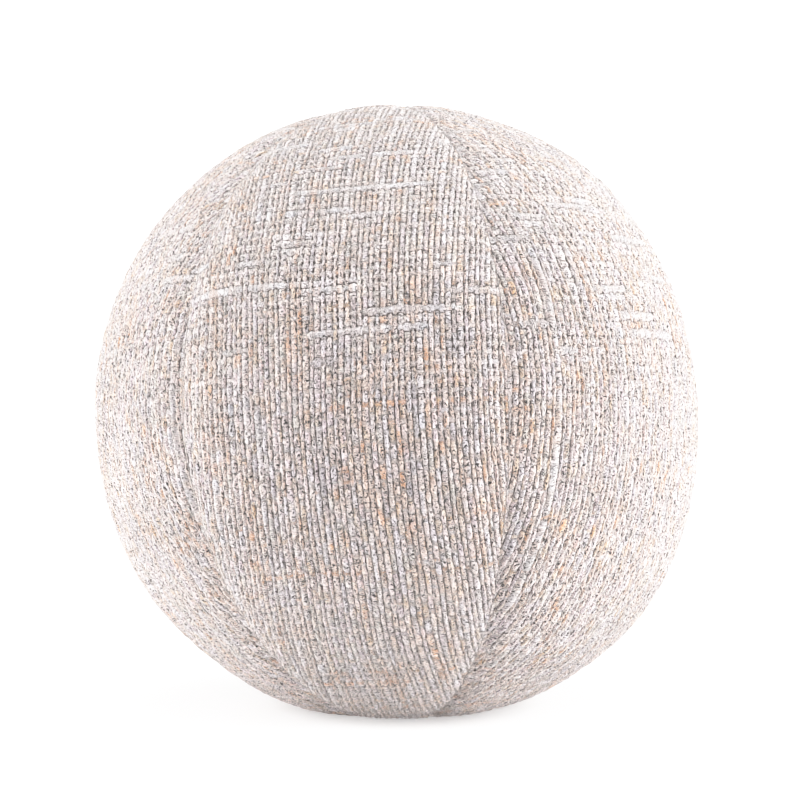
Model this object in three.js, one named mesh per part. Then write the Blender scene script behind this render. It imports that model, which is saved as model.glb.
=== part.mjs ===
// A filled ball cushion sewn from six equal cloth panels.
// Each panel is one filled wedge: the crowned cloth face outside, and its share of the filling
// as far in as the line from crown to base. The ball rests on a small flat spot at z = 0.
// Millimetres and degrees, +Z up, the front towards -Y.

import * as THREE from 'three';
import { mergeVertices } from 'three/addons/utils/BufferGeometryUtils.js';

// Size of the ball
const ballDiameter = 300;
const ballRadius = ballDiameter / 2;
const restHeight = 148.2;
const crownFullness = 0.011;

// The lower half, which the weight of the filling makes fuller, more so towards +X.
// It is fullest from this many degrees below level down to the edge of the flat spot.
const sagFullness = 0.040;
const sagLeanFullness = 0.024;
const sagFullBelow = 47;
const restEdgeRounding = 4.5;

// How the sewn axis, from the base's centre to the crown, lies in the resting ball
const axisLean = 2.3;
const axisTipBack = 4.8;

// Panels and seams
const panelCount = 6;
const panelAngle = 360 / panelCount;
const frontPanelAzimuth = -10.4;
const panelGap = 0.3;
const seamDepth = 1.8;
const seamHalfWidth = 6;
const seamFadeBelow = 66;
const seamGoneBelow = 76;

// Faces along and across one panel, closer together near the seams, the base and the crown
const rowCount = 32;
const columnCount = 12;
const seamCrowding = 0.7;
const endCrowding = 0.35;

// The cloth, each panel cut from another stretch of it and so a touch darker or paler
const clothColor = 0xe3d8d3;
const clothRoughness = 0.95;
const tintStep = 0.006;

const { clamp, degToRad, lerp, radToDeg, smoothstep } = THREE.MathUtils;

// Turns the sewn ball, whose axis is upright, to the way it rests
const sewnToResting = new THREE.Matrix4()
  .makeRotationY(-degToRad(axisLean))
  .multiply(new THREE.Matrix4().makeRotationX(-degToRad(axisTipBack)));

// Smaller of two lengths, with the corner between them rounded off over the given length.
function roundedMinimum(first, second, rounding) {
  const share = clamp(0.5 + (second - first) / (2 * rounding), 0, 1);
  return lerp(second, first, share) - rounding * share * (1 - share);
}

function degreesBelowLevel(direction) {
  return radToDeg(Math.asin(-direction.z));
}

// Distance from the ball's centre to the cloth in one direction, with the seams left out.
function reachOfBall(direction) {
  const crown = crownFullness * Math.max(0, direction.z) ** 2;
  const sag = smoothstep(degreesBelowLevel(direction), 0, sagFullBelow)
    * (sagFullness + sagLeanFullness * direction.x);
  const reachToFloor = restHeight / Math.max(-direction.z, Number.EPSILON);
  return roundedMinimum(ballRadius * (1 + crown + sag), reachToFloor, restEdgeRounding);
}

// How far the stitching draws the cloth in, by the distance along the cloth to the nearest seam.
function seamDrawIn(distance, direction) {
  const clearOfFloor = 1 - smoothstep(degreesBelowLevel(direction), seamFadeBelow, seamGoneBelow);
  return seamDepth * clearOfFloor * Math.exp(-((distance / seamHalfWidth) ** 2));
}

// Moves an even share of a span from 0 to 1 so that its steps are shorter near both ends.
function crowdedShare(even, crowding) {
  return even - crowding * Math.sin(2 * Math.PI * even) / (2 * Math.PI);
}

// One point of the cloth, by its angle from the panel's middle and its latitude on the sewn ball.
function clothPoint(panelAzimuth, angle, latitude) {
  const azimuth = degToRad(panelAzimuth + angle);
  const around = Math.cos(degToRad(latitude));
  const direction = new THREE.Vector3(
    around * Math.sin(azimuth),
    -around * Math.cos(azimuth),
    Math.sin(degToRad(latitude)),
  ).applyMatrix4(sewnToResting);
  const toSeam = ballRadius * around * degToRad(panelAngle / 2 - Math.abs(angle));
  return direction.clone().multiplyScalar(reachOfBall(direction) - seamDrawIn(toSeam, direction));
}

// One point of the sewn axis, from the base (share 0) to the crown (share 1).
function axisPoint(share) {
  const base = clothPoint(0, 0, -90);
  const crown = clothPoint(0, 0, 90);
  return base.lerp(crown, share);
}

// The wedge is a globe's mesh, poles at the base and the crown, with its first column laid along
// the axis and the others spread across the panel.
function panelGeometry(panelAzimuth) {
  const columnsAround = columnCount + 2;
  const globe = new THREE.SphereGeometry(1, columnsAround, rowCount);
  const { position, uv } = globe.attributes;
  for (let index = 0; index < position.count; index += 1) {
    const share = uv.getY(index);
    const isPole = share === 0 || share === 1;
    const column = isPole ? 0 : Math.round(uv.getX(index) * columnsAround) % columnsAround;
    const across = crowdedShare((column - 1) / columnCount, seamCrowding);
    const along = crowdedShare(share, endCrowding);
    const point = column === 0
      ? axisPoint(share)
      : clothPoint(panelAzimuth, panelAngle * (across - 0.5), 180 * along - 90);
    position.setXYZ(index, point.x, point.y, point.z + restHeight);
  }
  globe.deleteAttribute('uv');
  globe.deleteAttribute('normal');
  const wedge = mergeVertices(globe);
  wedge.computeVertexNormals();
  return wedge;
}

// Each wedge stands out from the axis so far that its two cut faces clear the next ones by the gap.
function buildPanel(number) {
  const panelAzimuth = frontPanelAzimuth + panelAngle * (number - 1);
  const color = new THREE.Color(clothColor).multiplyScalar(1 - tintStep * ((number * 2) % 5));
  const material = new THREE.MeshStandardMaterial({ color, roughness: clothRoughness, metalness: 0 });
  const panel = new THREE.Mesh(panelGeometry(panelAzimuth), material);
  const outward = panelGap / 2 / Math.sin(degToRad(panelAngle / 2));
  panel.name = `panel_${number}`;
  panel.position.set(
    outward * Math.sin(degToRad(panelAzimuth)),
    -outward * Math.cos(degToRad(panelAzimuth)),
    0,
  );
  return panel;
}

function buildBallCushion() {
  const cushion = new THREE.Group();
  cushion.name = 'ball_cushion';
  for (let number = 1; number <= panelCount; number += 1) {
    cushion.add(buildPanel(number));
  }
  const size = new THREE.Box3().setFromObject(cushion, true);
  const middle = size.getCenter(new THREE.Vector3());
  cushion.children.forEach((panel) => {
    panel.position.x -= middle.x;
    panel.position.y -= middle.y;
  });
  return cushion;
}

export default buildBallCushion();
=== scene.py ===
"""The looks of a ball cushion sewn from six panels of slub tweed.

The filled ball takes its shape from the frame's solids and a short cloth simulation. Each panel is
then woven as a mesh of its own: warp yarns run up the panel side by side, and weft yarns cross them
over and under, thick and thin as in slub tweed. Lengths are in metres, in the frame of the CAD model.
"""

import math
from types import SimpleNamespace

import bpy
import numpy as np
from mathutils import Matrix, Vector
from mathutils.bvhtree import BVHTree


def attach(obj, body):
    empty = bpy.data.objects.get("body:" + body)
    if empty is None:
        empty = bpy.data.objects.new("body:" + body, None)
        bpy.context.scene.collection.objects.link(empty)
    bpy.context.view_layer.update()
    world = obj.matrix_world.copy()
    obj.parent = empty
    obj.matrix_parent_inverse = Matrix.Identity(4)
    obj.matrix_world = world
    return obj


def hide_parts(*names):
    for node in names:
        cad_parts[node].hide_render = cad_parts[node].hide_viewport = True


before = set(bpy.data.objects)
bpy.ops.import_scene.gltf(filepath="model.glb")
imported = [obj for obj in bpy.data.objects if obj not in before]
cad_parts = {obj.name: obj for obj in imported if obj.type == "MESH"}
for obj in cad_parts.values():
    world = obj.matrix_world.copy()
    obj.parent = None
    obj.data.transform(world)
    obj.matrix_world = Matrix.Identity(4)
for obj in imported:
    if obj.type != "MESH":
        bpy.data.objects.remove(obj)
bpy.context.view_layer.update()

MM = 0.001

# The camera and the studio
CAMERA_LENS = 94.5
CAMERA_SENSOR = 36
CAMERA_PLACE = (0.0018, -1.05, 0.1527)
SOFTBOX_SIZE = 0.9
SOFTBOXES = (
    ("left softbox", (-1.1, -0.40, 0.45), 23),
    ("right softbox", (1.1, -0.40, 0.45), 29),
    ("top softbox", (0, -0.1, 1.2), 8),
)
BACKDROP_SEEN = 2.2
WHITEST = 1.22
HIGHLIGHTS = ((0.66, 0.66), (0.82, 0.803), (0.95, 0.898), (1.06, 0.957), (1.14, 0.985))
FLOOR_REACH = 9
FLOOR_DROP = 0.05 * MM
FLOOR_PAINT = (0.64, 0.64, 0.64, 1)
FLOOR_GLOW = 0.43

# The sewn ball
PANEL_COUNT = 6
PANEL_ANGLE = 2 * math.pi / PANEL_COUNT
FRONT_PANEL_AZIMUTH = math.radians(-10.4)
AXIS_LEAN = math.radians(2.3)
AXIS_TIP_BACK = math.radians(4.8)
BALL_RADIUS = 150 * MM
REST_HEIGHT = 148.2 * MM
BALL_CENTRE = Vector((0, 0, REST_HEIGHT))
SEAM_GAP = 0.05 * MM
POLE_TO_POLE = math.pi * BALL_RADIUS
SEWN_TO_RESTING = np.array(
    Matrix.Rotation(-AXIS_LEAN, 3, "Y") @ Matrix.Rotation(-AXIS_TIP_BACK, 3, "X")
)

# The filling, simulated as cloth under pressure
FILL_COLUMNS = 24 * PANEL_COUNT
FILL_ROWS = 84
FILL_FRAMES = 20
FILL_MOST_MOVE = 5 * MM
FILL_START = 0.99
RESTING_MARGIN = 2 * MM
BESIDE_SEAM = 0.4 * MM
COVER_CLOTH = {
    "quality": 5,
    "mass": 0.15,
    "tension_stiffness": 12,
    "compression_stiffness": 12,
    "shear_stiffness": 6,
    "bending_stiffness": 0.6,
    "use_pressure": True,
    "uniform_pressure_force": 4.0,
    "vertex_group_mass": "resting",
    "vertex_group_shrink": "seams",
    "shrink_min": 0.0,
    "shrink_max": 0.007,
}

# The ball's own softness
LUMP_DEPTH = 0.40 * MM
LUMP_SPACING = 75 * MM
LUMP_SEED = 9
YARNS_STAND = 0.9 * MM
FULLEST_WAY = (0.60, -0.14, 0.79)
FULLEST_RISE = 2.0 * MM
FULLEST_SPREAD = math.radians(9.5)

# The tweed
PICKS = 114
WEFT_PITCH = POLE_TO_POLE / PICKS
WARP_PITCH = 2.64 * MM
WARPS = 2 * math.ceil(PANEL_ANGLE / 2 * BALL_RADIUS / WARP_PITCH)
YARN_SHARES = (0.20, 0.50, 0.80)
YARN_SECTION = (0.80, 1.0, 0.80)
YARN_STEPS = len(YARN_SHARES) + 1
WARP_RISE = 0.80 * MM
WEFT_RISE = 0.62 * MM
HOLE_DEPTH = 0.65 * MM
FIBRE_DEPTH = 0.9 * MM
NARROWEST = 0.17
WEFT_SLOPE = math.tan(math.radians(1.5))
WEFT_WANDER = 0.7 * MM
WARP_WANDER = 0.35 * MM
POLE_FADE = 12 * MM
UNEVEN_HEIGHT = 0.07 * MM
UNEVEN_ACROSS = 0.11 * MM
UNEVEN_UP = 0.15 * MM
WEAVE_SEED = 40
WEAVE_APART = 100
BAKE_BANDS = 4

# The seams
CREASE_DEPTH = 0.32 * MM
CREASE_WIDTH = 1.5 * MM
PUCKER_DEPTH = 0.32 * MM
PUCKER_REACH = 9 * MM
PUCKER_SEED = 70
SHADOW_SEED = 170
RELIEF_MARGIN = 1.6 * MM
CUT_MARGIN = 0.12 * MM


# Small sums for the shapes


def clamp(value, low, high):
    return np.minimum(np.maximum(value, low), high)


def smoothstep(low, high, value):
    share = clamp((value - low) / (high - low), 0, 1)
    return share * share * (3 - 2 * share)


def drifting(rng, lines, steps, knot_every):
    """Random values in rows, one row for each line, that drift smoothly along the line."""
    knots = rng.normal(size=(lines, int(steps / knot_every) + 3))
    place = np.arange(steps) / knot_every + rng.uniform(size=(lines, 1))
    before = place.astype(int)
    share = place - before
    share = share * share * (3 - 2 * share)
    line = np.arange(lines)[:, None]
    return knots[line, before] * (1 - share) + knots[line, before + 1] * share


def rolling(rng, places, wavelength, waves=14):
    """A smooth random field over places, in about -1 to 1, from crossing waves."""
    directions = rng.normal(size=(waves, places.shape[-1]))
    directions /= np.linalg.norm(directions, axis=1, keepdims=True)
    lengths = wavelength * rng.uniform(0.7, 1.5, size=(waves, 1))
    phases = rng.uniform(0, 2 * math.pi, size=waves)
    angles = places @ (directions * 2 * math.pi / lengths).T + phases
    return np.sin(angles).sum(-1) / math.sqrt(waves)


def sewn_direction(azimuth, latitude):
    """Directions from the ball's centre, as it rests, for places on the sewn ball."""
    sewn = np.stack(
        [
            np.cos(latitude) * np.sin(azimuth),
            -np.cos(latitude) * np.cos(azimuth),
            np.sin(latitude),
        ],
        -1,
    )
    return sewn @ SEWN_TO_RESTING.T


# Writing materials as sums


class Value:
    """One output of a node. Sums and products of values add Math nodes."""

    def __init__(self, board, socket):
        self.board = board
        self.socket = socket

    def also(self, name):
        """Another output of the same node."""
        return Value(self.board, self.socket.node.outputs[name])

    def maths(self, operation, *others):
        return self.board.maths(operation, self, *others)

    def __add__(self, other):
        return self.board.maths("ADD", self, other)

    def __radd__(self, other):
        return self.board.maths("ADD", other, self)

    def __sub__(self, other):
        return self.board.maths("SUBTRACT", self, other)

    def __rsub__(self, other):
        return self.board.maths("SUBTRACT", other, self)

    def __mul__(self, other):
        return self.board.maths("MULTIPLY", self, other)

    def __rmul__(self, other):
        return self.board.maths("MULTIPLY", other, self)

    def __truediv__(self, other):
        return self.board.maths("DIVIDE", self, other)


class Board:
    """A node tree, and the ways to add to it."""

    def __init__(self, tree):
        self.tree = tree

    def add(self, kind, settings=None, given=()):
        """A new node of this kind, with its settings and then the values or links of its sockets."""
        node = self.tree.nodes.new(kind)
        for name, setting in (settings or {}).items():
            if name == "stops":
                self.set_stops(node.color_ramp, setting)
            else:
                setattr(node, name, setting)
        pairs = given.items() if isinstance(given, dict) else enumerate(given)
        for socket, value in pairs:
            self.feed(node.inputs[socket], value)
        return Value(self, node.outputs[0]) if node.outputs else None

    def feed(self, socket, value):
        """Links a socket to a value, or sets it."""
        if isinstance(value, Value):
            self.tree.links.new(value.socket, socket)
        else:
            socket.default_value = value

    def set_stops(self, ramp, stops):
        """Gives a ramp its colours, each from its own place to the next one's."""
        ramp.interpolation = "CONSTANT"
        elements = ramp.elements
        elements.remove(elements[1])
        elements[0].position = stops[0][0]
        elements[0].color = opaque(stops[0][1])
        for position, colour in stops[1:]:
            elements.new(position).color = opaque(colour)

    def maths(self, operation, *values):
        return self.add("ShaderNodeMath", {"operation": operation}, values)

    def smooth(self, value, low, high):
        """0 below low and 1 above high, with a smooth step between."""
        return self.add(
            "ShaderNodeMapRange",
            {"interpolation_type": "SMOOTHSTEP"},
            {"Value": value, "From Min": low, "From Max": high},
        )

    def place(self, x, y, z=0.0):
        return self.add("ShaderNodeCombineXYZ", {}, [x, y, z])

    def mix(self, share, first, second, blend="MIX"):
        settings = {"data_type": "RGBA", "blend_type": blend}
        return self.add("ShaderNodeMix", settings, {0: share, 6: first, 7: second}).also(2)

    def noise(self, where, scale=1.0, detail=0.0):
        return self.add("ShaderNodeTexNoise", {}, {"Vector": where, "Scale": scale, "Detail": detail})

    def chance(self, *where):
        """A random number from 0 to 1 for each place, the same all over a whole number's cell."""
        return self.add(
            "ShaderNodeTexWhiteNoise", {"noise_dimensions": "3D"}, {"Vector": self.place(*where)}
        )

    def mark(self, name):
        """A mark that the mesh carries."""
        return self.add("ShaderNodeAttribute", {"attribute_name": name}).also("Fac")

    def shader(self, socket, value):
        """Sets a socket of the tree's Principled shader, or links to it."""
        node = next(n for n in self.tree.nodes if n.type == "BSDF_PRINCIPLED")
        self.feed(node.inputs[socket], value)


def srgb(red, green, blue):
    """A colour's linear values from its 0 to 255 ones."""
    shares = [channel / 255 for channel in (red, green, blue)]
    return tuple(s / 12.92 if s <= 0.04045 else ((s + 0.055) / 1.055) ** 2.4 for s in shares)


def opaque(colour):
    return (*colour, 1)


# The camera and the studio


def make_camera():
    """The photograph's view: level with the ball's middle, a little over a metre away."""
    camera = bpy.data.objects.new("camera", bpy.data.cameras.new("camera"))
    bpy.context.scene.collection.objects.link(camera)
    bpy.context.scene.camera = camera
    camera.data.lens = CAMERA_LENS
    camera.data.sensor_width = CAMERA_SENSOR
    camera.location = CAMERA_PLACE
    camera.rotation_euler = (math.radians(90), 0, 0)


def soft_light(name, place, power):
    """A square of soft light, turned to the ball's middle."""
    light = bpy.data.objects.new(name, bpy.data.lights.new(name, "AREA"))
    bpy.context.scene.collection.objects.link(light)
    light.data.shape = "SQUARE"
    light.data.size = SOFTBOX_SIZE
    light.data.energy = power
    light.location = place
    light.rotation_euler = (Vector(place) - BALL_CENTRE).to_track_quat("Z", "Y").to_euler()


def soften_highlights(view):
    """Bends the brightest tones over gently, as a camera's picture does."""
    view.use_curve_mapping = True
    curve = view.curve_mapping
    curve.white_level = (WHITEST, WHITEST, WHITEST)
    tones = curve.curves[3].points
    for light, shown in HIGHLIGHTS:
        tones.new(light / WHITEST, shown)
    for point in tones[:2]:
        point.handle_type = "VECTOR"
    curve.update()


def white_room():
    """The world's light, strongest at the sides, with some from behind and above."""
    world = bpy.data.worlds.new("studio")
    world.use_nodes = True
    board = Board(world.node_tree)
    board.tree.nodes.clear()
    way = board.add("ShaderNodeTexCoord").also("Generated")
    x = board.add("ShaderNodeSeparateXYZ", {}, [way])
    behind = x.also("Y").maths("MULTIPLY_ADD", 0.5, 0.5)
    aside = x * x
    above = x.also("Z").maths("MAXIMUM", 0.0)
    strength = 0.08 + 0.24 * behind + 1.65 * aside + 0.10 * above
    seen = board.add("ShaderNodeLightPath")
    strength = BACKDROP_SEEN * seen + (1 - seen) * strength
    sky = board.add("ShaderNodeBackground", {}, {"Color": (1, 1, 1, 1), "Strength": strength})
    board.add("ShaderNodeOutputWorld", {}, {"Surface": sky})
    return world


def floor_paint():
    """A pale matt floor that glows a little, and more away from the ball, up to the room's white."""
    paint = bpy.data.materials.new("pale floor")
    paint.use_nodes = True
    board = Board(paint.node_tree)
    board.shader("Base Color", FLOOR_PAINT)
    board.shader("Roughness", 0.9)
    ground = board.add("ShaderNodeTexCoord").also("Object")
    away = board.add("ShaderNodeVectorMath", {"operation": "LENGTH"}, [ground]).also("Value")
    glow = 1 + 2.5 * board.smooth(away, 0.5, 1.8)
    board.shader("Emission Color", board.place(glow, glow, glow))
    board.shader("Emission Strength", FLOOR_GLOW)
    return paint


def make_studio():
    """A white room with three softboxes, and a plain pale floor."""
    scene = bpy.context.scene
    scene.view_settings.view_transform = "Standard"
    soften_highlights(scene.view_settings)
    scene.world = white_room()
    for name, place, power in SOFTBOXES:
        soft_light(name, place, power)
    mesh = bpy.data.meshes.new("floor")
    ends = ((-1, -1), (1, -1), (1, 1), (-1, 1))
    mesh.from_pydata([(x * FLOOR_REACH, y * FLOOR_REACH, 0) for x, y in ends], [], [(0, 1, 2, 3)])
    mesh.materials.append(floor_paint())
    floor = bpy.data.objects.new("floor", mesh)
    floor.location.z = -FLOOR_DROP
    scene.collection.objects.link(floor)


# The tweed's dyes

PINK_GREY = srgb(227, 208, 204)
WARM_GREY = srgb(215, 199, 190)
BLUE_GREY = srgb(214, 215, 226)
GREEN_GREY = srgb(211, 212, 205)
LILAC = srgb(221, 204, 215)
WHITE_WOOL = srgb(236, 229, 228)
PEACH = srgb(226, 184, 160)
ORANGE = srgb(208, 145, 98)
OCHRE = srgb(203, 183, 144)
BLUE_SLUB = srgb(221, 224, 234)
PINK_SLUB = srgb(231, 219, 220)
# Painted shade in the gaps between yarns: a warm half-shade at their rims, near black in their depths
GAP_HALF_SHADE = srgb(175, 156, 148)
GAP_SHADE = srgb(44, 33, 29)
SHEEN_TINT = (1.0, 0.955, 0.93, 1)
PALE_DYES = (
    (0.0, PINK_GREY),
    (0.30, WARM_GREY),
    (0.52, WHITE_WOOL),
    (0.64, BLUE_GREY),
    (0.84, LILAC),
    (0.92, GREEN_GREY),
)


class Weave:
    """Where a point of the cloth is: which yarn shows there, and how far along it and across it."""

    def __init__(self, board):
        self.board = board
        self.weft_shows = board.mark("weft_shows")
        self.depth = board.mark("depth")
        self.slub = board.mark("slub")
        self.bulky = board.smooth(self.slub, 0.2, 0.6)
        weave = board.add("ShaderNodeUVMap", {"uv_map": "weave"})
        across = board.add("ShaderNodeSeparateXYZ", {}, [weave])
        up = across.also("Y")
        self.warp = across.maths("FLOOR")
        self.pick = up.maths("FLOOR")
        self.across_mm = across * (WARP_PITCH / MM)
        self.up_mm = up * (WEFT_PITCH / MM)
        across_warp = across - self.warp
        up_pick = up - self.pick
        self.yarn = self.warp + self.weft_shows * (self.pick + 1000 - self.warp)
        self.along = self.up_mm + self.weft_shows * (self.across_mm - self.up_mm)
        self.beside = across_warp + self.weft_shows * (up_pick - across_warp)
        from_side = 0.5 - (across_warp - 0.5).maths("ABSOLUTE")
        from_end = 0.5 - (up_pick - 0.5).maths("ABSOLUTE")
        self.from_line = (from_side * (WARP_PITCH / MM)).maths("MINIMUM", from_end * (WEFT_PITCH / MM))
        self.high_up = board.smooth(up, PICKS * 0.40, PICKS * 0.75)

    def field(self, across_scale, up_scale, layer, detail=1.0):
        """Noise over the cloth, with its scales across and up, per millimetre."""
        place = self.board.place(self.across_mm * across_scale, self.up_mm * up_scale, layer)
        return self.board.noise(place, 1.0, detail)


def yarn_colour(board, at):
    """The yarns' colour: pale in stretches, and warm in patches that neighbouring yarns share."""
    # A yarn's tint is soft where one stretch runs into the next
    waver = board.noise(board.place(at.yarn * 5.31, at.along * 0.16), 1.0, 2.0)
    stretch = (board.chance(at.yarn, 7.5) * 12 + 5) * (1 + 0.6 * at.weft_shows)
    dyed = (at.along + waver * 12) / stretch + board.chance(at.yarn, 3.5) * 10
    dye = board.chance(at.yarn, dyed.maths("FLOOR"), 11.5)
    other_dye = board.chance(at.yarn, dyed.maths("FLOOR"), 19.5)

    # Warm tints come in patches, longest up the warp, in flecks, and along whole picks
    patch = at.field(0.117, 0.036, 4.7, 2.0)
    fleck = at.field(0.33, 0.11, 2.9)
    speck = at.field(1.5, 1.2, 2.2)
    dyed_pick = board.smooth(board.chance(at.pick, 5.5), 0.80, 0.86) * at.weft_shows
    cell = board.chance(at.warp + 0.5, at.pick + 0.5, 4.5)
    warmth = patch * 0.56 + fleck * 0.66 - 0.13 + (dye - 0.5) * 0.24 + 0.15 * dyed_pick
    warmth = warmth + (speck - 0.5) * 0.20 + (cell - 0.5) * 0.22
    wash = patch * 0.45 + fleck * 0.55

    pale = board.add("ShaderNodeValToRGB", {"stops": PALE_DYES}, [other_dye])
    colour = board.mix(0.46, pale, opaque(PINK_GREY))
    colour = board.mix(board.smooth(wash, 0.46, 0.60) * 0.42, colour, opaque(PEACH))
    colour = board.mix(board.smooth(wash, 0.49, 0.38) * 0.35, colour, opaque(LILAC))
    colour = board.mix(board.smooth(warmth, 0.60, 0.72) * 0.64, colour, opaque(PEACH))
    orange = board.smooth(warmth, 0.69, 0.80) * (0.70 - 0.12 * at.weft_shows)
    colour = board.mix(orange, colour, opaque(ORANGE))
    ochre = board.smooth(fleck - (other_dye - 0.5) * 0.5, 0.72, 0.80)
    colour = board.mix(ochre * 0.35, colour, opaque(OCHRE))
    undyed = board.smooth(warmth, 0.66, 0.58)
    white = at.weft_shows * undyed * (0.15 + 0.35 * at.high_up)
    colour = board.mix(white, colour, opaque(WHITE_WOOL))

    # Slubs are bulky undyed wool, bluish or pinkish white
    slub_colour = board.mix(board.smooth(waver, 0.42, 0.58), opaque(BLUE_SLUB), opaque(PINK_SLUB))
    return board.mix(at.bulky * 0.45, colour, slub_colour)


def yarn_tone(board, at, fibre, grain, pits_and_shade):
    """How light the yarns are: mottled by fibres, with one bead or yarn lighter than the next, and
    painted shade in small pits, strongest down the yarns' sides.
    """
    rough = (fibre - 0.5) * 1.3 + (board.smooth(grain, 0.32, 0.68) - 0.5) * 0.40
    # Painted shade in the pits
    rough = rough - board.smooth(pits_and_shade, 0.55, 0.63) * 0.80 + 0.06
    rough = rough * (1.44 - 0.58 * board.smooth(at.from_line, 0.3, 1.0))
    rough = rough * (1 - at.bulky * 0.28)
    bead = board.chance(at.warp, at.pick, 8.5)
    streak = board.noise(board.place(at.yarn * 3.71, at.along * 0.035, 6.4), 1.0, 1.0)
    by_turns = ((at.warp * 0.5).maths("FRACT") * -4 + 1) * (1 - at.weft_shows)
    tone = 0.603 + rough + (bead - 0.5) * 0.08 + (streak - 0.5) * 0.6 + by_turns * 0.045
    return tone - 0.05 * at.slub * at.weft_shows


def gap_shade(board, at, fibre, pits_and_shade):
    """How far a point lies in the painted shade of the gaps, which is ragged, flecked by the pits'
    painted shade and deepest high up.
    """
    line = 1 - board.smooth(at.from_line + (fibre - 0.5) * 0.5, 0.0, 0.5)
    ragged = at.field(0.9, 0.6, 3.3)
    shade = at.depth * (0.46 + 0.82 * line) * (0.40 + 1.20 * board.smooth(ragged, 0.34, 0.66))
    shade = shade * (1 + 0.25 * at.high_up)
    return shade + (fibre - 0.5) * 0.25 + (pits_and_shade - 0.5) * 0.40


def tweed_material():
    """Space-dyed warp and weft yarns, soft and matt, with shade painted dark into the gaps where they
    cross.
    """
    tweed = bpy.data.materials.new("slub tweed")
    tweed.use_nodes = True
    board = Board(tweed.node_tree)
    at = Weave(board)
    fibre_place = board.place(at.beside * 2.4 + at.along * 0.8, at.along * 1.4, at.yarn * 2.7)
    fibre = board.noise(fibre_place, 1.5, 3.0)
    grain = at.field(1.05, 0.95, 5.1, 2.0)
    # Small pits, which the bump sinks and which are painted darker as shade
    pits_and_shade = at.field(1.6, 1.9, 7.7)

    tone = yarn_tone(board, at, fibre, grain, pits_and_shade)
    grey = board.place(tone, tone, tone)
    colour = board.mix(1.0, yarn_colour(board, at), grey, "MULTIPLY")
    shade = gap_shade(board, at, fibre, pits_and_shade)
    # Painted shade: the gaps' rims take a warm half-shade, their depths a near black shade
    colour = board.mix(board.smooth(shade, 0.05, 0.45) * 0.45, colour, opaque(GAP_HALF_SHADE))
    colour = board.mix(board.smooth(shade, 0.26, 0.58) * 0.95, colour, opaque(GAP_SHADE))

    twist = ((at.beside * 1.1 + at.along * 1.7) * (2 * math.pi)).maths("SINE")
    pits = board.smooth(pits_and_shade, 0.50, 0.66) * 0.4
    bump_height = fibre * 0.9 + grain * 0.5 + twist * 0.10 - pits
    bump = {"Strength": 1.0, "Distance": FIBRE_DEPTH, "Height": bump_height}

    board.shader("Base Color", colour)
    board.shader("Roughness", 0.82 + fibre * 0.2)
    board.shader("Sheen Weight", 1.0)
    board.shader("Sheen Roughness", 0.55)
    board.shader("Sheen Tint", SHEEN_TINT)
    board.shader("Specular IOR Level", 0.2)
    board.shader("Normal", board.add("ShaderNodeBump", {}, bump))
    return tweed


# The filled ball


def reach_of_solids(azimuths, latitudes):
    """How far the CAD panels reach from the ball's centre, over a grid of places."""
    corners, faces = [], []
    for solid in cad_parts.values():
        first = len(corners)
        corners += [vertex.co[:] for vertex in solid.data.vertices]
        faces += [[first + v for v in face.vertices] for face in solid.data.polygons]
    cover = BVHTree.FromPolygons(corners, faces)
    reach = np.zeros((len(latitudes), len(azimuths)))
    for row, latitude in enumerate(latitudes[1:-1], 1):
        for column, azimuth in enumerate(azimuths):
            way = Vector(sewn_direction(azimuth, latitude))
            beside = Vector(sewn_direction(azimuth + math.pi / 2, 0))
            for side in (-BESIDE_SEAM, BESIDE_SEAM):
                start = BALL_CENTRE + way * 2 * BALL_RADIUS + beside * side
                hit = cover.ray_cast(start, -way)[0]
                if hit:
                    reach[row, column] = max(reach[row, column], (hit - BALL_CENTRE).dot(way))
    reach[0] = reach[1].mean()
    reach[-1] = reach[-2].mean()
    return reach


def evened(values, times):
    """Values over the grid of the ball, each the mean of its surroundings."""
    for _ in range(times):
        values = (np.roll(values, 2, axis=1) + values + np.roll(values, -2, axis=1)) / 3
        padded = np.vstack([values[:2], values, values[-2:]])
        values = (padded[:-4] + padded[2:-2] + padded[4:]) / 3
    return values


def cover_corner(row, column):
    """The number of the cover's corner at this row and column of the grid."""
    return 1 + (row - 1) * FILL_COLUMNS + column % FILL_COLUMNS


def cover_faces():
    """The faces of the closed cover: a triangle to each column at the poles, and squares between."""
    top_row = FILL_ROWS - 1
    last = 1 + top_row * FILL_COLUMNS
    faces = []
    for column in range(FILL_COLUMNS):
        faces.append((0, cover_corner(1, column + 1), cover_corner(1, column)))
        faces.append((last, cover_corner(top_row, column), cover_corner(top_row, column + 1)))
        for row in range(1, top_row):
            lower = (cover_corner(row, column), cover_corner(row, column + 1))
            upper = (cover_corner(row + 1, column + 1), cover_corner(row + 1, column))
            faces.append((*lower, *upper))
    return faces


def pressed_places(ball):
    """Runs the cloth simulation, and gives the corners' places at its end."""
    cloth = ball.modifiers.new("filling", "CLOTH")
    for name, setting in COVER_CLOTH.items():
        setattr(cloth.settings, name, setting)
    cloth.settings.effector_weights.gravity = 0
    cloth.collision_settings.use_collision = False
    cloth.point_cache.frame_start = 1
    cloth.point_cache.frame_end = FILL_FRAMES
    for step in range(1, FILL_FRAMES + 1):
        bpy.context.scene.frame_set(step)
    pressed = ball.evaluated_get(bpy.context.evaluated_depsgraph_get()).data
    places = np.zeros(len(pressed.vertices) * 3)
    pressed.vertices.foreach_get("co", places)
    bpy.context.scene.frame_set(1)
    return places.reshape(-1, 3)


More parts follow.
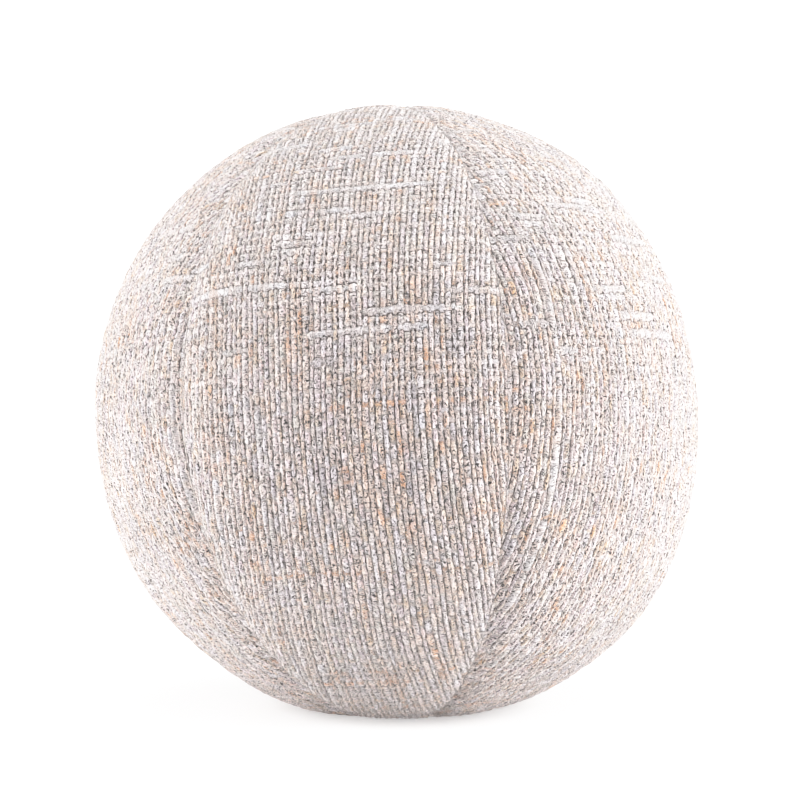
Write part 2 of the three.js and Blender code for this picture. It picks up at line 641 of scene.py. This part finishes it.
def fill(reach, directions):
    """Presses the filling out against the sewn cloth, and gives the new reach."""
    points = directions * (reach * FILL_START)[..., None]
    points[..., 2] = np.maximum(points[..., 2], -REST_HEIGHT)
    corners = [points[0, 0], *points[1:-1].reshape(-1, 3), points[-1, 0]]
    mesh = bpy.data.meshes.new("filling")
    mesh.from_pydata([tuple(corner) for corner in corners], [], cover_faces())
    ball = bpy.data.objects.new("filling", mesh)
    bpy.context.scene.collection.objects.link(ball)

    resting = ball.vertex_groups.new(name="resting")
    low = [i for i, corner in enumerate(corners) if corner[2] < RESTING_MARGIN - REST_HEIGHT]
    resting.add(low, 1.0, "REPLACE")
    seams = ball.vertex_groups.new(name="seams")
    columns_each = FILL_COLUMNS // PANEL_COUNT
    for row in range(2, FILL_ROWS - 1):
        sewn = range(columns_each // 2, FILL_COLUMNS, columns_each)
        seams.add([cover_corner(row, column) for column in sewn], 1.0, "REPLACE")
    found = np.linalg.norm(pressed_places(ball), axis=1)
    bpy.data.objects.remove(ball)

    pressed_reach = np.zeros_like(reach)
    pressed_reach[0] = found[0]
    pressed_reach[-1] = found[-1]
    pressed_reach[1:-1] = found[1:-1].reshape(-1, FILL_COLUMNS)
    moved = pressed_reach - reach
    free = (reach * directions[..., 2] > RESTING_MARGIN - REST_HEIGHT) & (reach > 0)
    moved = np.where(free, moved - moved[free].mean(), 0)
    moved -= evened(moved, 6)
    return reach + clamp(moved, -FILL_MOST_MOVE, FILL_MOST_MOVE)


def smooth_reach(reach):
    """The reach as a function of azimuth and latitude, curved evenly through the grid's values."""
    turned = np.roll(reach, FILL_COLUMNS // 2, axis=1)
    grid = np.vstack([turned[2:0:-1], reach, turned[-2:-4:-1]])
    grid = np.hstack([grid[:, -2:], grid, grid[:, :3]])

    def weights(share):
        square = share * share
        cube = share * share * share
        return (
            (-cube + 2 * square - share) / 2,
            (3 * cube - 5 * square + 2) / 2,
            (-3 * cube + 4 * square + share) / 2,
            (cube - square) / 2,
        )

    def at(azimuth, latitude):
        column = ((azimuth - FRONT_PANEL_AZIMUTH) / (2 * math.pi) * FILL_COLUMNS) % FILL_COLUMNS
        row = clamp((latitude / math.pi + 0.5) * FILL_ROWS, 0, FILL_ROWS - 1e-9)
        left = column.astype(int)
        low = row.astype(int)
        total = np.zeros(np.shape(column))
        for i, weight in enumerate(weights(row - low)):
            for j, other in enumerate(weights(column - left)):
                total += weight * other * grid[low + 1 + i, left + 1 + j]
        return total

    return at


def filled_ball():
    """The filled ball's reach at any place on it."""
    azimuths = FRONT_PANEL_AZIMUTH + np.arange(FILL_COLUMNS) * 2 * math.pi / FILL_COLUMNS
    latitudes = np.linspace(-math.pi / 2, math.pi / 2, FILL_ROWS + 1)
    reach = reach_of_solids(azimuths, latitudes)
    directions = sewn_direction(*np.meshgrid(azimuths, latitudes))
    reach = fill(reach, directions)
    return smooth_reach(reach)


# Laying out values over the weave. Each yarn has three places across it, between its two lines.


def overlaid(excess):
    """How far the lines between yarns give way to a thicker yarn, which overlays its neighbours."""
    edge = np.zeros_like(excess[:1])
    return (np.concatenate([edge, excess]) - np.concatenate([excess, edge])) / 2


def interleaved(lines, *within):
    """Values at the lines between yarns, each followed by the values within the next yarn."""
    steps = len(within) + 1
    laid = np.zeros((*lines.shape[:-1], steps * (lines.shape[-1] - 1) + 1))
    laid[..., ::steps] = lines
    for step, values in enumerate(within, 1):
        laid[..., step::steps] = values
    return laid


def beside_lines(values):
    """For each line between yarns, the values before it and after it, ends repeated."""
    return (
        np.concatenate([values[..., :1], values], -1),
        np.concatenate([values, values[..., -1:]], -1),
    )


def between(values):
    """The mean at each line of the yarns on either side of it."""
    before, after = beside_lines(values)
    return (before + after) / 2


def spread_out(values):
    """Values of yarns as values at the lines between them and at three places within each."""
    return interleaved(between(values), values, values, values)


def shared_out(lines):
    """The lines between yarns, with three places within each yarn."""
    first = lines[..., :-1]
    widths = np.diff(lines)
    return interleaved(lines, *(first + widths * share for share in YARN_SHARES))


def rounded(heights):
    """Heights across yarns, from their heights along their middles."""
    lines = np.zeros((*heights.shape[:-1], heights.shape[-1] + 1))
    return interleaved(lines, *(heights * share for share in YARN_SECTION))


def domes(on_top, end_height, shoulder):
    """Heights along yarns that show where they are on top: round-ended beads, or longer floats."""
    before, after = beside_lines(on_top)
    joined = before & after
    ending = before ^ after
    lines = np.where(joined, 0.96, np.where(ending, end_height, 0.0))
    first = np.where(on_top, np.where(joined[..., :-1], 1.0, shoulder), 0.0)
    last = np.where(on_top, np.where(joined[..., 1:], 1.0, shoulder), 0.0)
    return interleaved(lines, first, on_top.astype(float), last)


def off_pole(up):
    """1 over most of the panel, falling to 0 at the poles."""
    return clamp((POLE_TO_POLE / 2 - np.abs(up)) / POLE_FADE, 0, 1)


# The weave


def crossings(rng):
    """Which yarns are on top at each crossing, how thick they are, and how tight the cloth is there."""
    middle_up = (np.arange(PICKS) + 0.5) * WEFT_PITCH - POLE_TO_POLE / 2
    side = (np.arange(WARPS)[:, None] - WARPS / 2) * WARP_PITCH
    place = np.stack(np.broadcast_arrays(side, middle_up[None]), -1)
    tightest = np.exp(-((middle_up / BALL_RADIUS + 0.33) ** 2) / 0.27)[None]
    tight = clamp(0.12 + 0.88 * tightest + 0.22 * rolling(rng, place, 90 * MM), 0.05, 1)

    # Slubs: in the warp mostly where the cloth is tight, in the weft only high up
    warp_slub = smoothstep(1.00, 1.60, drifting(rng, WARPS, PICKS, 18) + 0.35 * tight)
    warp_slub *= rng.uniform(0.30, 0.9, size=(WARPS, 1))
    high_up = np.sin(place[..., 1] / BALL_RADIUS)
    weft_slub = smoothstep(1.20, 1.65, drifting(rng, PICKS, WARPS, 10).T + 0.5 * high_up)
    weft_slub *= smoothstep(-0.1, 0.25, high_up)

    # Plain weave, with floats
    warp_number = np.arange(WARPS)[:, None]
    pick_number = np.arange(PICKS)[None]
    warp_over = (warp_number + pick_number) % 2 == 0
    warp_over |= rng.uniform(size=(WARPS, PICKS)) < tight * (0.12 + 0.45 * warp_slub)
    floated = rng.uniform(size=(WARPS, PICKS)) < 0.86
    warp_over &= ~((weft_slub > 0.4) & floated)

    by_turns = clamp(0.6 + 0.5 * rolling(rng, place, 70 * MM), 0, 1)
    by_turns = np.where(warp_number % 2 == 0, by_turns, -by_turns)
    warp_width = 1 - 0.13 * by_turns + 0.05 * rng.normal(size=(WARPS, 1)) + 0.42 * warp_slub
    warp_width += 0.06 * drifting(rng, WARPS, PICKS, 2)
    weft_width = 1 + 0.15 * weft_slub + 0.05 * drifting(rng, PICKS, WARPS, 4).T
    return SimpleNamespace(
        tight=tight,
        warp_over=warp_over,
        warp_slub=warp_slub,
        weft_slub=weft_slub,
        leading=np.maximum(by_turns, 0) * (1 - warp_slub),
        widths=spread_out(warp_width),
        thick=spread_out(weft_width.T).T,
    )


def warp_edges(cloth):
    """The warps' edges at each row. Where wefts are thick, they close in on the warps on top."""
    lines = (np.arange(WARPS + 1)[:, None] - WARPS / 2) * WARP_PITCH
    lines = lines + overlaid((cloth.widths - 1) * WARP_PITCH)
    before, after = beside_lines(cloth.warp_over.T.astype(float))
    narrowed = (before - after) * NARROWEST * WARP_PITCH * (1 - between(cloth.tight.T))
    return shared_out((lines - spread_out(narrowed.T)).T).T


def pick_edges(rng, cloth, across):
    """The picks' edges at each column, without and with the laps of a warp on top over them."""
    flat_up = np.arange(PICKS + 1) * WEFT_PITCH - POLE_TO_POLE / 2
    lines = overlaid((cloth.thick - 1).T * WEFT_PITCH).T
    before, after = beside_lines(cloth.warp_over.astype(float))
    covered = 0.16 + 0.17 * cloth.tight + 0.04 * cloth.warp_slub + 0.14 * cloth.leading
    covered = np.maximum(*beside_lines(covered))
    lap = spread_out(((before - after) * covered * WEFT_PITCH).T).T
    lap[::YARN_STEPS] *= 0.5
    middle_across = across[:, ::YARN_STEPS]
    place = np.stack(np.broadcast_arrays(middle_across, flat_up[None]), -1)
    wander = WEFT_WANDER * rolling(rng, place, 80 * MM) + WEFT_SLOPE * middle_across
    lines = flat_up + (lines + wander) * off_pole(flat_up)
    return shared_out(lines), shared_out(lines + lap * off_pole(flat_up))


def yarn_relief(rng, cloth):
    """Round yarns, domed where they come up."""
    warps = domes(cloth.warp_over, 0.35, 0.84) * WARP_RISE * np.maximum(cloth.widths, 0.3) ** 0.4
    warps *= 1 + 0.15 * spread_out(cloth.leading) + 0.08 * rng.normal(size=warps.shape)
    wefts = domes(~cloth.warp_over.T, 0.45, 0.88).T * WEFT_RISE * cloth.thick
    wefts = wefts * spread_out((1 - 0.45 * cloth.tight).T).T
    return np.maximum(rounded(warps.T).T, rounded(wefts))


def gap_depths(rng, cloth):
    """Holes at the corners, lines down the sides of the warps, and lines across between beads."""
    weft_over = ~cloth.warp_over
    closed = between(spread_out(cloth.tight).T).T
    middle = interleaved(np.zeros(PICKS + 1), 0.35, 1.0, 0.35)
    before, after = beside_lines(weft_over.T)
    floating = (before & after).T
    floating = interleaved(np.zeros((WARPS + 1, PICKS + 1)), floating, floating, floating)
    hole = np.zeros((YARN_STEPS * WARPS + 1, YARN_STEPS * PICKS + 1))
    hole[::YARN_STEPS] = (0.95 - (0.85 - 0.45 * closed) * middle) * (1 - 0.9 * floating)

    before, after = beside_lines(cloth.warp_over)
    ends = 0.10 + 0.12 * between(cloth.tight) + 0.40 * between(cloth.warp_slub)
    ends = ends * (1 - 0.6 * between(cloth.leading))
    parted = np.where(before & after, 0.0, np.where(before | after, ends, 0.75))
    weft_slub_shows = np.where(cloth.warp_over, 0, cloth.weft_slub)
    parted = np.maximum(parted, 0.8 * beside_lines(weft_slub_shows)[1])
    hole[:, ::YARN_STEPS] = spread_out(parted.T).T
    hole[::YARN_STEPS, ::YARN_STEPS] = 1
    return hole * clamp(1 + 0.40 * rng.normal(size=hole.shape), 0.1, 1.6)


def woven_grid(rng):
    """The panel's grid of points, four columns to a warp and four rows to a pick, and its marks."""
    cloth = crossings(rng)
    across = warp_edges(cloth)
    smooth_up, up = pick_edges(rng, cloth, across)
    place = np.stack([across, smooth_up], -1)
    across = across + WARP_WANDER * rolling(rng, place, 70 * MM)
    relief = yarn_relief(rng, cloth)
    hole = gap_depths(rng, cloth)
    height = relief - HOLE_DEPTH * hole
    height += UNEVEN_HEIGHT * rng.normal(size=height.shape)
    across += UNEVEN_ACROSS * rng.normal(size=height.shape)
    up += UNEVEN_UP * rng.normal(size=height.shape) * off_pole(smooth_up)
    height -= height.mean()
    yarn_cell = np.ones((YARN_STEPS, YARN_STEPS), int)
    slub = np.where(cloth.warp_over, cloth.warp_slub, cloth.weft_slub)
    return SimpleNamespace(
        across=across,
        up=up,
        smooth_up=smooth_up,
        height=height,
        depth=clamp(hole, 0, 1),
        weft_shows=np.kron(~cloth.warp_over, yarn_cell),
        slub=np.kron(slub, yarn_cell),
    )


# The panels


def half_width(up):
    """Half the panel's width at this height, short of its seams."""
    return np.maximum(BALL_RADIUS * np.cos(up / BALL_RADIUS) * PANEL_ANGLE / 2 - SEAM_GAP, 0)


def seams_of(number):
    """The numbers of a panel's left and right seams."""
    return (number - 2) % PANEL_COUNT, (number - 1) % PANEL_COUNT


def seam_pucker(seam, up):
    """Small puckers along one seam, the same on both of its sides."""
    rng = np.random.default_rng(PUCKER_SEED + seam)
    strength = 0.6 + 0.4 * rolling(rng, up[:, None], 110 * MM, 5)
    return strength * rolling(rng, up[:, None], 17 * MM, 9)


def seam_shadow(seam, up):
    """How dark one seam is along its length, where the sewn edges part a little."""
    rng = np.random.default_rng(SHADOW_SEED + seam)
    parting = 0.45 * rolling(rng, up[:, None], 60 * MM, 5)
    stitches = 0.25 * rolling(rng, up[:, None], 7 * MM, 5)
    return clamp(0.5 + parting + stitches, 0.15, 1)


def cut_out(grid):
    """Cuts the grid to the panel's outline. Each row ends in one point on either seam.

    The points inside are numbered first, then the left seam's and the right seam's. The seams
    share one point at each pole.
    """
    inside = np.abs(grid.across) < half_width(grid.smooth_up) - CUT_MARGIN
    inside[:, 0] = inside[:, -1] = False
    columns, rows = inside.shape
    row_numbers = np.arange(rows)
    any_inside = inside.any(axis=0)
    first = np.where(any_inside, inside.argmax(axis=0), columns // 2)
    last = np.where(any_inside, columns - 1 - inside[::-1].argmax(axis=0), columns // 2 - 1)

    left = int(inside.sum()) + row_numbers
    right = left + rows
    right[0] = left[0]
    right[-1] = left[-1]
    before = np.arange(columns)[:, None] < first[None]
    seam = np.where(before, left[None], right[None])
    index = np.where(inside, np.cumsum(inside).reshape(inside.shape) - 1, seam)

    left_column = np.maximum(first - 1, 0)
    right_column = np.minimum(last + 1, columns - 1)
    left_up = grid.smooth_up[left_column, row_numbers]
    right_up = grid.smooth_up[right_column, row_numbers]
    left_up[0] = right_up[0] = -POLE_TO_POLE / 2
    left_up[-1] = right_up[-1] = POLE_TO_POLE / 2
    return SimpleNamespace(
        inside=inside,
        index=index,
        left=left,
        right=right,
        left_column=left_column,
        right_column=right_column,
        left_up=left_up,
        right_up=right_up,
    )


def flat_panel(number, grid, cut):
    """Values at the panel's points before it is laid on the ball.

    They are in the order of the cut's numbers, with the ball's centre last.
    """

    def points_of(inner, left, right, centre=0):
        return np.concatenate([inner[cut.inside], left, right, [centre]])

    columns, rows = grid.across.shape
    level = np.zeros(rows)
    yarn_columns = np.broadcast_to(np.arange(columns)[:, None] / YARN_STEPS, grid.across.shape)
    yarn_rows = np.broadcast_to(np.arange(rows)[None] / YARN_STEPS, grid.across.shape)
    left_x = cut.left_column / YARN_STEPS + 0.1
    right_x = cut.right_column / YARN_STEPS - 0.1
    left_seam, right_seam = seams_of(number)
    left_shadow = seam_shadow(left_seam, cut.left_up)
    right_shadow = seam_shadow(right_seam, cut.right_up)
    return SimpleNamespace(
        across=points_of(grid.across, -half_width(cut.left_up), half_width(cut.right_up)),
        up=points_of(grid.up, cut.left_up, cut.right_up),
        height=points_of(grid.height, level, level),
        depth=points_of(grid.depth, left_shadow, right_shadow, 1),
        weave_x=points_of(yarn_columns, left_x, right_x) + WEAVE_APART * number,
        weave_y=points_of(yarn_rows, yarn_rows[0], yarn_rows[0]),
    )


def laid_on_ball(number, across, up, height, reach_at):
    """Where the panel's points lie on the filled ball."""
    latitude = clamp(up / BALL_RADIUS, -math.pi / 2, math.pi / 2)
    ring = BALL_RADIUS * np.maximum(np.cos(latitude), 1e-4)
    panel_azimuth = FRONT_PANEL_AZIMUTH + (number - 1) * PANEL_ANGLE
    azimuth = panel_azimuth + across / ring
    directions = sewn_direction(azimuth, latitude)
    reach = reach_at(azimuth, latitude)

    # Lumps, and a fuller place at the upper right. The yarns stand in the CAD panels' skin
    lump_rng = np.random.default_rng(LUMP_SEED)
    reach = reach + LUMP_DEPTH * rolling(lump_rng, directions * BALL_RADIUS, LUMP_SPACING)
    height_above = directions[:, 2]
    stand = smoothstep(-0.93, -0.80, height_above) + 0.7 * smoothstep(0.3, 1, height_above)
    reach -= YARNS_STAND * stand
    off_fullest = np.arccos(clamp(directions @ Vector(FULLEST_WAY).normalized(), -1, 1))
    reach += FULLEST_RISE * np.exp(-((off_fullest / FULLEST_SPREAD) ** 2) / 2)

    # Each seam's puckers and crease
    left_seam, right_seam = seams_of(number)
    pucker = np.where(across < 0, seam_pucker(left_seam, up), seam_pucker(right_seam, up))
    from_seam = np.maximum(half_width(up) - np.abs(across), 0)
    low_down = 0.6 + 0.6 * smoothstep(0.1, -0.8, np.sin(latitude))
    reach += PUCKER_DEPTH * low_down * pucker * np.exp(-from_seam / PUCKER_REACH)
    fade = smoothstep(70 * MM, 20 * MM, POLE_TO_POLE / 2 + up)
    crease = CREASE_DEPTH * (1 - 0.7 * fade)
    reach -= crease * np.exp(-((from_seam / CREASE_WIDTH) ** 2))
    reach += height * smoothstep(0, RELIEF_MARGIN, from_seam)
    points = directions * reach[:, None]
    points[:, 2] = np.maximum(points[:, 2] + REST_HEIGHT, 0)
    return points


def woven_faces(cut):
    """The woven side's faces: all their corners in a row, how many each has, and the cells they are.

    Cells that have shrunk to a line or a point at a seam are left out.
    """
    index = cut.index
    corners = np.stack([index[:-1, :-1], index[1:, :-1], index[1:, 1:], index[:-1, 1:]], -1)
    corners = corners.reshape(-1, 4)
    kept_corner = corners != np.roll(corners, -1, axis=1)
    sizes = kept_corner.sum(axis=1)
    kept = sizes >= 3
    return corners[kept][kept_corner[kept]], sizes[kept], kept


def wall_corners(cut, centre):
    """The corners of the walls' triangles, from the left seam and then the right to the centre."""
    middle = np.full(len(cut.left) - 1, centre)
    left_wall = np.stack([cut.left[1:], cut.left[:-1], middle], -1)
    right_wall = np.stack([cut.right[:-1], cut.right[1:], middle], -1)
    return np.concatenate([left_wall, right_wall]).reshape(-1)


def bake_layout(flat, loops, band, is_wall):
    """The panel's flat layout for a bake: the woven side in bands, two over two, and the walls above."""
    across = flat.across[loops]
    up = flat.up[loops]
    full_width = PANEL_ANGLE * BALL_RADIUS * 1.01
    band_height = POLE_TO_POLE / BAKE_BANDS
    y_in_band = (up + POLE_TO_POLE / 2) / band_height - band
    woven_x = (across / full_width + 0.5 + band % 2) / 2
    woven_y = (band // 2 + 0.02 + 0.94 * y_in_band) / 2 * 0.97

    # The walls are two thin strips, the left one below the right one
    is_centre = loops == len(flat.across) - 1
    is_right = np.arange(len(loops)) >= len(loops) - np.count_nonzero(is_wall) // 2
    along_wall = (up / POLE_TO_POLE + 0.5) * 0.98 + 0.01
    wall_x = np.where(is_centre, 0.5, along_wall)
    wall_y = np.where(is_centre, 0.9995, 0.986) - np.where(is_right, 0.0, 0.014)
    return np.where(is_wall, wall_x, woven_x), np.where(is_wall, wall_y, woven_y)


def write_mesh(mesh, points, loops, face_sizes, smooth):
    """Writes points and faces into a mesh, and leaves out the points that no face uses."""
    used = np.zeros(len(points), bool)
    used[loops] = True
    renumbered = np.cumsum(used) - 1
    starts = np.concatenate([[0], np.cumsum(face_sizes)[:-1]])
    mesh.vertices.add(int(used.sum()))
    mesh.loops.add(len(loops))
    mesh.polygons.add(len(face_sizes))
    mesh.vertices.foreach_set("co", points[used].reshape(-1).astype(np.float32))
    mesh.loops.foreach_set("vertex_index", renumbered[loops].astype(np.int32))
    mesh.polygons.foreach_set("loop_start", starts.astype(np.int32))
    mesh.update(calc_edges=True)
    mesh.polygons.foreach_set("use_smooth", smooth)
    return used


def set_mark(mesh, name, domain, values):
    mark = mesh.attributes.new(name, "FLOAT", domain)
    mark.data.foreach_set("value", values.astype(np.float32))


def set_layout(mesh, name, x, y):
    layout = mesh.uv_layers.new(name=name)
    layout.data.foreach_set("uv", np.stack([x, y], -1).reshape(-1).astype(np.float32))


def woven_panel(number, reach_at, tweed):
    """One closed panel: its woven face, and flat walls from its seams to the ball's centre."""
    grid = woven_grid(np.random.default_rng(WEAVE_SEED + number))
    cut = cut_out(grid)
    flat = flat_panel(number, grid, cut)
    points = laid_on_ball(number, flat.across[:-1], flat.up[:-1], flat.height[:-1], reach_at)
    centre = len(points)
    points = np.vstack([points, [[0, 0, REST_HEIGHT]]])

    woven_loops, woven_sizes, kept = woven_faces(cut)
    loops = np.concatenate([woven_loops, wall_corners(cut, centre)])
    columns, rows = grid.across.shape
    walls = np.zeros(2 * (rows - 1))
    face_sizes = np.concatenate([woven_sizes, np.full(len(walls), 3)])
    is_woven = np.arange(len(face_sizes)) < len(woven_sizes)
    mesh = bpy.data.meshes.new(f"woven_panel_{number}")
    used = write_mesh(mesh, points, loops, face_sizes, is_woven)

    # What shows on each face: the walls show no weft and no slub
    set_mark(mesh, "depth", "POINT", flat.depth[used])
    set_mark(mesh, "weft_shows", "FACE", np.append(grid.weft_shows.reshape(-1)[kept], walls))
    set_mark(mesh, "slub", "FACE", np.append(grid.slub.reshape(-1)[kept], walls))

    # The weave's own coordinates, in yarns, then the layout for a bake
    set_layout(mesh, "weave", flat.weave_x[loops], flat.weave_y[loops])
    face_rows = np.tile(np.arange(rows - 1), columns - 1)[kept]
    band = np.append(face_rows * BAKE_BANDS // (rows - 1), walls.astype(int))
    is_wall = ~np.repeat(is_woven, face_sizes)
    bake_x, bake_y = bake_layout(flat, loops, np.repeat(band, face_sizes), is_wall)
    set_layout(mesh, "OFBake", bake_x, bake_y)
    mesh.uv_layers["weave"].active_render = True
    mesh.materials.append(tweed)
    mesh.validate()

    piece = bpy.data.objects.new(f"woven_panel_{number}", mesh)
    bpy.context.scene.collection.objects.link(piece)
    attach(piece, "root")
    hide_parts(f"panel_{number}")


make_camera()
make_studio()
tweed = tweed_material()
reach_at = filled_ball()
for panel in range(1, PANEL_COUNT + 1):
    woven_panel(panel, reach_at, tweed)

bpy.context.view_layer.update()
